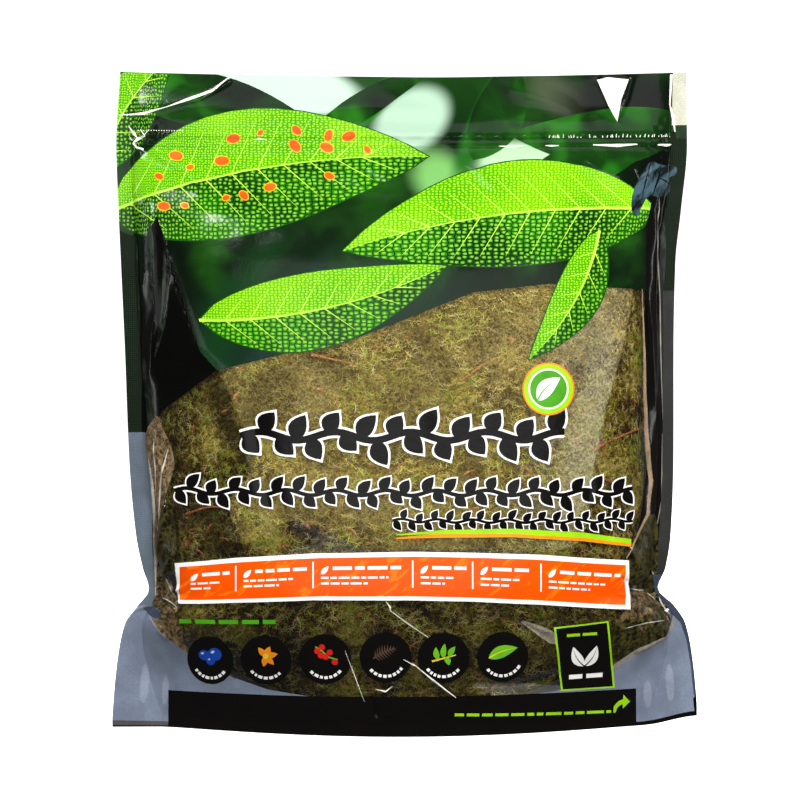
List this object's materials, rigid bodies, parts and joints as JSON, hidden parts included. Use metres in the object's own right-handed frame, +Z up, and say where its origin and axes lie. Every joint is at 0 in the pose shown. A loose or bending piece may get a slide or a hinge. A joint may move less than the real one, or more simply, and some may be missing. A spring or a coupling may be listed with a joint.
{
  "type": "stand-up pouch of dried sheet moss",
  "caption": "Stand-up zip pouch of film with a clear window, side seals and a folded bottom gusset, packed with folded mats of dried moss.",
  "frame": {"origin": "on the floor, below the middle of the standing pouch", "axes": "+Z up, +X to the right as the printed front is seen, and the front faces -Y"},
  "size_m": [0.3402, 0.099, 0.381],
  "materials": {
    "front_film": "gloss",
    "back_film": "gloss",
    "gusset_film": "satin",
    "zip_plastic": "satin",
    "dried_moss": "matte",
    "twig_bark": "matte"
  },
  "bodies": {
    "root": {"front_panel": "front_film", "back_panel": "back_film", "bottom_gusset": "gusset_film", "zip_front_track": "zip_plastic", "zip_back_track": "zip_plastic", "moss_sheet_1": "dried_moss", "moss_sheet_2": "dried_moss", "moss_sheet_3": "dried_moss", "moss_sheet_4": "dried_moss", "moss_sheet_5": "dried_moss", "twig_1": "twig_bark", "twig_2": "twig_bark", "twig_3": "twig_bark", "twig_4": "twig_bark", "twig_5": "twig_bark", "twig_6": "twig_bark"}
  },
  "joints": []
}
